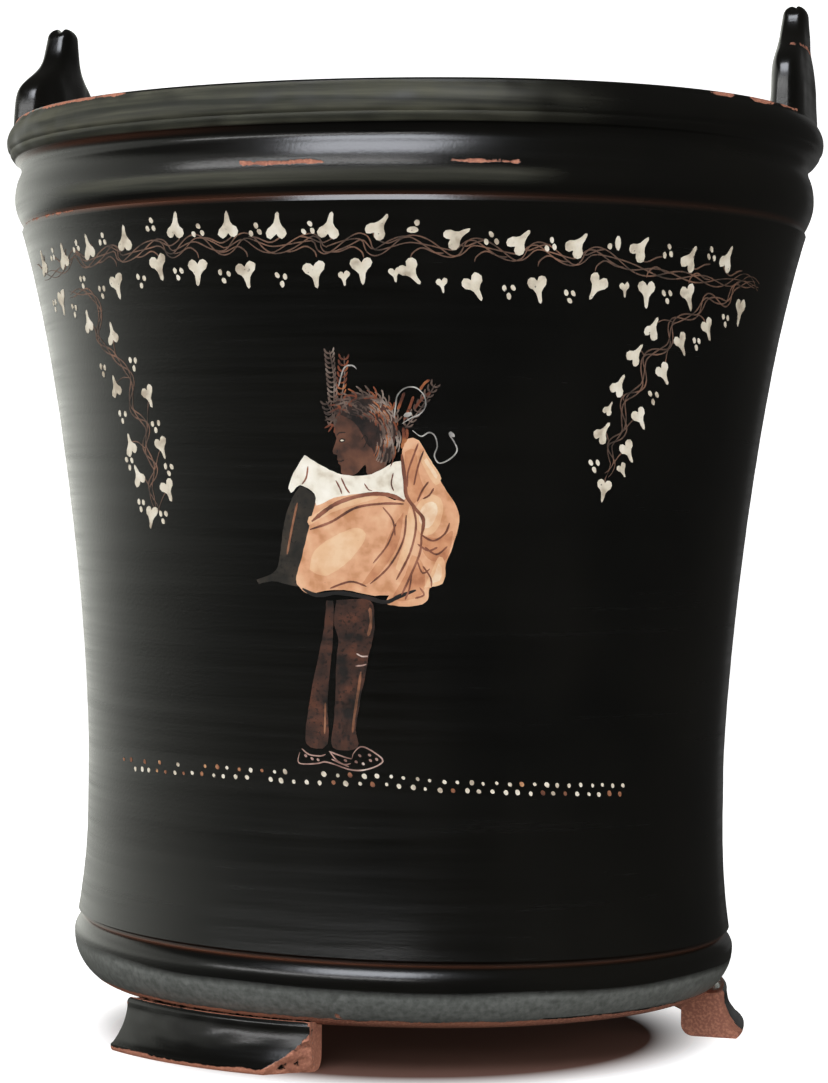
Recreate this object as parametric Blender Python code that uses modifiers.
"""A black-glazed bucket (situla) of fired clay, thrown on a wheel, with two lugs and three strip feet.

Metres, +Z up.  The origin is the centre of the plane that the feet stand on.  The lugs stand on
the rim at -X and +X, and the painted front looks along -Y.  Clay was joined to clay before the
firing, so the whole vessel is one piece.
"""

import math

import bmesh
import bpy
from mathutils import Matrix, Vector

# Heights of the turned wall, one above the other from the ground up
UNDERSIDE_HEIGHT = 0.0100
BASE_BAND_HEIGHT = 0.0150
BODY_HEIGHT = 0.1703
COLLAR_HEIGHT = 0.0120
NECK_HEIGHT = 0.0045
RIM_BAND_HEIGHT = 0.0094

# Radii of the mouth, and how far its mouldings stand back from the widest line of the rim
RIM_RADIUS = 0.1010
RIM_SWELL = 0.0018
RIM_LIP_ROUND = 0.0010
NECK_SETBACK = 0.0031
COLLAR_SETBACK = 0.0022
JUNCTION_SETBACK = 0.0044
SHOULDER_STEP = 0.0004

# The side of the body: its waist, and the flare above the base
WAIST_RADIUS = 0.0790
WAIST_HEIGHT = 0.0641
SHOULDER_SLOPE = 0.295
SHOULDER_HANDLE = 0.0425
WAIST_HANDLE = 0.0182

# The rounded band at the base, with the groove that parts it from the body
BASE_BAND_RADIUS = 0.0818
BASE_BAND_CORNER = 0.0098
BODY_FOOT_SETBACK = 0.0009
GROOVE_WIDTH = 0.0013
GROOVE_DEPTH = 0.0012

# Thickness of the clay
WALL = 0.0065
RIM_WALL = 0.0102
FLOOR = 0.0075
FLOOR_FILLET = 0.0120

# The strip feet: their places round the base, clockwise seen from below, and their section
FOOT_BEARINGS = (-19.4, 106.5, 223.5)
FOOT_SPAN = 38.0
FOOT_RIDGE_HEIGHT = 0.0115
FOOT_RIDGE_SETBACK = 0.0013
FOOT_RIDGE_ROUND = 0.0011
FOOT_FLARE = 0.0030
FOOT_EDGE_HEIGHT = 0.0015
FOOT_HOLLOW = 0.0010
FOOT_WIDTH = 0.0141
FOOT_HEEL_ROUND = 0.0030
FOOT_SINK = 0.0012

# The piece broken from the end of the front foot
CHIP_LENGTH = 0.0100
CHIP_DEPTH = 0.0088
CHIP_HEIGHT = 0.0093

# The lugs
LUG_LENGTH = 0.0412
LUG_THICKNESS = 0.0094
LUG_SHOULDER_HEIGHT = 0.0164
LUG_SHOULDER_SHARPNESS = 7.0
LUG_LOBE_HEIGHT = 0.0145
LUG_STEM_LENGTH = 0.0086
LUG_SADDLE = 0.0013
LUG_TOP_ROUND = 0.0024
LUG_SQUARENESS = 3.0
LUG_SINK = 0.0030

# The two lugs were shaped by eye, so the left one (-1) and the right one (1) differ a little
LUG_HEIGHT = {-1: 0.0289, 1: 0.0270}
LUG_TOP_THICKNESS = {-1: 0.0070, 1: 0.0062}
LUG_OUTWARD = {-1: 0.0006, 1: -0.0006}
LUG_LEAN = {-1: 0.0022, 1: 0.0013}
LUG_LOBE = {-1: 0.0030, 1: 0.0009}

# Fineness of the faceted solids
TURN_STEPS = 60
LUG_SIDES = 18
LUG_RINGS = 11
FOOT_STEPS = 8
MERGE = 0.00001

# Heights that follow from those above
GROOVE_HEIGHT = UNDERSIDE_HEIGHT + BASE_BAND_HEIGHT
JUNCTION_HEIGHT = GROOVE_HEIGHT + BODY_HEIGHT
NECK_LINE_HEIGHT = JUNCTION_HEIGHT + COLLAR_HEIGHT
RIM_FOOT_HEIGHT = NECK_LINE_HEIGHT + NECK_HEIGHT
RIM_HEIGHT = RIM_FOOT_HEIGHT + RIM_BAND_HEIGHT

# Radii that follow from those above
RIM_EDGE_RADIUS = RIM_RADIUS - RIM_SWELL
JUNCTION_RADIUS = RIM_RADIUS - JUNCTION_SETBACK
SHOULDER_RADIUS = JUNCTION_RADIUS + SHOULDER_STEP
BODY_FOOT_RADIUS = BASE_BAND_RADIUS - BODY_FOOT_SETBACK
UNDERSIDE_RADIUS = BASE_BAND_RADIUS - BASE_BAND_CORNER
FOOT_EDGE_RADIUS = BASE_BAND_RADIUS + FOOT_FLARE
FOOT_RIDGE_RADIUS = BASE_BAND_RADIUS - FOOT_RIDGE_SETBACK

COLLECTION = "situla"
CUTTERS = "cutters"


def start_clean():
    """Empties the file and makes the two collections."""
    for item in list(bpy.data.objects):
        bpy.data.objects.remove(item, do_unlink=True)
    for name in (COLLECTION, CUTTERS):
        held = bpy.data.collections.new(name)
        bpy.context.scene.collection.children.link(held)


def glazed_clay():
    """Black gloss that fired to a sheen over orange clay."""
    material = bpy.data.materials.new("black gloss on clay")
    material.use_nodes = True
    shader = material.node_tree.nodes["Principled BSDF"]
    shader.inputs["Base Color"].default_value = (0.010, 0.010, 0.008, 1.0)
    shader.inputs["Roughness"].default_value = 0.32
    shader.inputs["Metallic"].default_value = 0.0
    return material


def add_mesh(bm, name, collection):
    """Turns a bmesh into an object in one of the collections."""
    mesh = bpy.data.meshes.new(name)
    bm.to_mesh(mesh)
    bm.free()
    item = bpy.data.objects.new(name, mesh)
    bpy.data.collections[collection].objects.link(item)
    return item


def arc_between(start, end, swell, steps):
    """Points after start, up to end, on a round line that swells outwards where the way runs down."""
    way = Vector(end) - Vector(start)
    out = Vector((-way.y, way.x)).normalized()
    points = []
    for step in range(1, steps + 1):
        share = step / steps
        lift = 4.0 * share * (1.0 - share) * swell
        points.append(tuple(Vector(start) + way * share + out * lift))
    return points


def ellipse_arc(centre, across, up, first, last, steps):
    """Points on an ellipse from one angle to another, in degrees, 0 being straight out."""
    points = []
    for step in range(steps + 1):
        angle = math.radians(first + (last - first) * step / steps)
        points.append((centre[0] + across * math.cos(angle), centre[1] + up * math.sin(angle)))
    return points


def bezier(start, first, second, end, steps):
    """Points after start, up to end, on a Bezier curve with two handles."""
    points = []
    for step in range(1, steps + 1):
        t = step / steps
        point = (
            Vector(start) * (1 - t) ** 3
            + Vector(first) * 3 * (1 - t) ** 2 * t
            + Vector(second) * 3 * (1 - t) * t**2
            + Vector(end) * t**3
        )
        points.append(tuple(point))
    return points


def mouth_outline():
    """Outer points (radius, height) of the rim band, the neck and the collar, from the lip down."""
    lip = RIM_EDGE_RADIUS, RIM_HEIGHT - RIM_LIP_ROUND
    rim_foot = RIM_EDGE_RADIUS, RIM_FOOT_HEIGHT
    neck = RIM_RADIUS - NECK_SETBACK, NECK_LINE_HEIGHT
    junction = JUNCTION_RADIUS, JUNCTION_HEIGHT
    points = [(RIM_EDGE_RADIUS - RIM_LIP_ROUND, RIM_HEIGHT), lip]
    points += arc_between(lip, rim_foot, RIM_SWELL, 6)
    points += arc_between(rim_foot, neck, -0.25 * NECK_HEIGHT, 3)
    collar_swell = (NECK_SETBACK + JUNCTION_SETBACK) / 2 - COLLAR_SETBACK
    points += arc_between(neck, junction, collar_swell, 6)
    return points


def body_outline():
    """Outer points of the side, from its shoulder to the groove above the base."""
    shoulder_height = JUNCTION_HEIGHT - 3 * SHOULDER_STEP
    shoulder = SHOULDER_RADIUS, shoulder_height
    handle = SHOULDER_RADIUS - SHOULDER_SLOPE * SHOULDER_HANDLE, shoulder_height - SHOULDER_HANDLE
    waist = WAIST_RADIUS, WAIST_HEIGHT
    foot_height = GROOVE_HEIGHT + GROOVE_WIDTH
    drop = WAIST_HEIGHT - foot_height
    points = [shoulder]
    points += bezier(shoulder, handle, (WAIST_RADIUS, WAIST_HEIGHT + WAIST_HANDLE), waist, 9)
    points += bezier(
        waist,
        (WAIST_RADIUS, WAIST_HEIGHT - 0.4 * drop),
        (BODY_FOOT_RADIUS - 0.06 * drop, foot_height + 0.4 * drop),
        (BODY_FOOT_RADIUS, foot_height),
        4,
    )
    return points


def base_outline():
    """Outer points of the groove and the base band, ending at the edge of the flat underside."""
    groove = BODY_FOOT_RADIUS - GROOVE_DEPTH, GROOVE_HEIGHT + GROOVE_WIDTH / 2
    widest_height = GROOVE_HEIGHT - 0.25 * BASE_BAND_HEIGHT
    centre = UNDERSIDE_RADIUS, widest_height
    upper = GROOVE_HEIGHT - widest_height
    points = [groove]
    points += ellipse_arc(centre, BASE_BAND_CORNER, 1.6 * upper, 38.0, 0.0, 3)
    points += ellipse_arc(centre, BASE_BAND_CORNER, widest_height - UNDERSIDE_HEIGHT, -15.0, -78.0, 5)
    points.append((centre[0] + 0.14 * BASE_BAND_CORNER, UNDERSIDE_HEIGHT))
    return points


def inner_outline(outer):
    """Inner points from the middle of the floor up the wall to the lip, a wall inside the outer line."""
    floor_height = UNDERSIDE_HEIGHT + FLOOR
    fillet_top = floor_height + FLOOR_FILLET
    side = [(r - WALL, h) for r, h in reversed(outer) if fillet_top < h < JUNCTION_HEIGHT]
    wall_foot = min(r for r, h in side[:3]), fillet_top
    corner = wall_foot[0] - FLOOR_FILLET, fillet_top
    points = [(0.0, floor_height)]
    points += ellipse_arc(corner, FLOOR_FILLET, FLOOR_FILLET, -90.0, 0.0, 4)
    points += side
    points.append((JUNCTION_RADIUS - WALL, JUNCTION_HEIGHT + COLLAR_HEIGHT / 2))
    inner_lip = RIM_EDGE_RADIUS - RIM_WALL
    points.append((inner_lip, RIM_FOOT_HEIGHT))
    points.append((inner_lip, RIM_HEIGHT - RIM_LIP_ROUND))
    points.append((inner_lip + RIM_LIP_ROUND, RIM_HEIGHT))
    return points


def turned_wall():
    """The thrown vessel without its lugs and feet, a profile turned about the axis."""
    outer = mouth_outline() + body_outline() + base_outline()
    profile = inner_outline(outer) + outer + [(0.0, UNDERSIDE_HEIGHT)]
    bm = bmesh.new()
    corners = [bm.verts.new((radius, 0.0, height)) for radius, height in profile]
    for first, second in zip(corners, corners[1:]):
        bm.edges.new((first, second))
    wall = add_mesh(bm, "situla", COLLECTION)
    turn = wall.modifiers.new("turn", "SCREW")
    turn.steps = TURN_STEPS
    turn.render_steps = TURN_STEPS
    turn.use_merge_vertices = True
    turn.merge_threshold = MERGE
    return wall


def foot_section():
    """The outline of a strip foot, cut across: ridge, hollowed glazed face, edge, sole and heel."""
    heel_radius = FOOT_EDGE_RADIUS - FOOT_WIDTH
    root_height = UNDERSIDE_HEIGHT + FOOT_SINK
    ridge = FOOT_RIDGE_RADIUS, FOOT_RIDGE_HEIGHT - FOOT_RIDGE_ROUND
    edge = FOOT_EDGE_RADIUS, FOOT_EDGE_HEIGHT
    points = [(UNDERSIDE_RADIUS, root_height)]
    points.append((FOOT_RIDGE_RADIUS - 2.5 * FOOT_RIDGE_ROUND, root_height))
    points.append((FOOT_RIDGE_RADIUS - FOOT_RIDGE_ROUND, FOOT_RIDGE_HEIGHT))
    points.append(ridge)
    points += arc_between(ridge, edge, -FOOT_HOLLOW, 5)
    points.append((FOOT_EDGE_RADIUS, 0.0))
    heel = heel_radius + FOOT_HEEL_ROUND, FOOT_HEEL_ROUND
    points += ellipse_arc(heel, FOOT_HEEL_ROUND, FOOT_HEEL_ROUND, -90.0, -180.0, 3)
    points.append((heel_radius, root_height))
    return points


def strip_foot(bearing):
    """A foot: its section carried round part of a turn, about the middle that the bearing gives."""
    start = math.radians(bearing - FOOT_SPAN / 2)
    bm = bmesh.new()
    corners = []
    for radius, height in foot_section():
        corners.append(bm.verts.new((radius * math.sin(start), -radius * math.cos(start), height)))
    section = bm.faces.new(corners)
    bmesh.ops.spin(
        bm,
        geom=[section, *section.verts, *section.edges],
        cent=(0, 0, 0),
        axis=(0, 0, 1),
        angle=math.radians(FOOT_SPAN),
        steps=FOOT_STEPS,
        use_duplicate=False,
    )
    bmesh.ops.recalc_face_normals(bm, faces=bm.faces)
    return add_mesh(bm, "foot", CUTTERS)


def round_the_axis(bearing, radius, along, height):
    """A place at a bearing, moved along the circle of that radius."""
    angle = math.radians(bearing) + along / radius
    return Vector((radius * math.sin(angle), -radius * math.cos(angle), height))


def broken_corner():
    """A block whose face runs through the lower outer corner of the front foot's right end."""
    end = FOOT_BEARINGS[0] + FOOT_SPAN / 2
    top = round_the_axis(end, FOOT_EDGE_RADIUS - 1.2 * FOOT_FLARE, 0.0, CHIP_HEIGHT)
    back = round_the_axis(end, FOOT_EDGE_RADIUS - CHIP_DEPTH, 0.0, 0.0)
    side = round_the_axis(end, FOOT_EDGE_RADIUS, -CHIP_LENGTH, 0.0)
    normal = (side - top).cross(back - top).normalized()
    outward = round_the_axis(end, FOOT_EDGE_RADIUS, 0.0, 0.0) - back
    if normal.dot(outward) < 0:
        normal = -normal
    size = 3 * CHIP_LENGTH
    bm = bmesh.new()
    bmesh.ops.create_cube(bm, size=size)
    turned = normal.to_track_quat("Z", "Y").to_matrix().to_4x4()
    place = Matrix.Translation((top + back + side) / 3 + normal * size / 2)
    bmesh.ops.transform(bm, matrix=place @ turned, verts=bm.verts)
    return add_mesh(bm, "broken corner", CUTTERS)


def lug_half_length(height):
    """Half the lug's length along the rim: two round shoulders that sweep up into a narrow stem."""
    fall = 1.0 / (1.0 + (max(height, 0.0) / LUG_SHOULDER_HEIGHT) ** LUG_SHOULDER_SHARPNESS)
    return LUG_STEM_LENGTH / 2 + (LUG_LENGTH - LUG_STEM_LENGTH) / 2 * fall


def lug_ring(height, inset, side):
    """Points round a lug at one height above the rim, drawn in by inset; its ends swell outwards."""
    share = max(height, 0.0) / LUG_HEIGHT[side]
    half_length = lug_half_length(height) - inset
    thickness = LUG_THICKNESS + (LUG_TOP_THICKNESS[side] - LUG_THICKNESS) * share
    half_thickness = thickness / 2 - inset
    middle = RIM_EDGE_RADIUS + LUG_OUTWARD[side] - thickness / 2 - LUG_LEAN[side] * share
    lobe = LUG_LOBE[side] / (1.0 + (max(height, 0.0) / LUG_LOBE_HEIGHT) ** 8)
    points = []
    for step in range(LUG_SIDES):
        angle = math.tau * (step + 0.5) / LUG_SIDES
        power = 2.0 / LUG_SQUARENESS
        across = math.copysign(abs(math.cos(angle)) ** power, math.cos(angle))
        along = math.copysign(abs(math.sin(angle)) ** power, math.sin(angle))
        reach = half_length * along
        swell = lobe * (2.0 * reach / LUG_LENGTH) ** 2 * math.sqrt(max(across, 0.0))
        out = middle + half_thickness * across + swell
        dip = LUG_SADDLE * (across**2 - 1.0) * share**8
        points.append((side * out, side * reach, RIM_HEIGHT + height + dip))
    return points


def lug(side):
    """A lug, lofted from ring to ring, with a rounded top. Side is -1 or 1, for the end of the X axis."""
    body_height = LUG_HEIGHT[side] - LUG_TOP_ROUND
    levels = [(-LUG_SINK, 0.0)]
    levels += [(body_height * step / LUG_RINGS, 0.0) for step in range(LUG_RINGS + 1)]
    for tilt in (30.0, 55.0, 80.0):
        rise = LUG_TOP_ROUND * math.sin(math.radians(tilt))
        inset = LUG_TOP_ROUND * (1.0 - math.cos(math.radians(tilt)))
        levels.append((body_height + rise, inset))
    bm = bmesh.new()
    rings = [[bm.verts.new(point) for point in lug_ring(h, inset, side)] for h, inset in levels]
    for low, high in zip(rings, rings[1:]):
        for step in range(LUG_SIDES):
            after = (step + 1) % LUG_SIDES
            bm.faces.new((low[step], low[after], high[after], high[step]))
    bm.faces.new(reversed(rings[0]))
    bm.faces.new(rings[-1])
    bmesh.ops.recalc_face_normals(bm, faces=bm.faces)
    return add_mesh(bm, "lug", CUTTERS)


def join(target, other, operation):
    """Joins another solid to the target, or cuts it away, and keeps it as a guide."""
    other.hide_render = True
    other.display_type = "WIRE"
    change = target.modifiers.new(other.name, "BOOLEAN")
    change.operation = operation
    change.solver = "EXACT"
    change.object = other


def build():
    """Builds the vessel."""
    start_clean()
    vessel = turned_wall()
    feet = [strip_foot(bearing) for bearing in FOOT_BEARINGS]
    join(feet[0], broken_corner(), "DIFFERENCE")
    for foot in feet:
        join(vessel, foot, "UNION")
    for side in (-1, 1):
        join(vessel, lug(side), "UNION")
    vessel.data.materials.append(glazed_clay())
    vessel.data.shade_smooth()
    vessel.data.set_sharp_from_angle(angle=math.radians(35))


build()
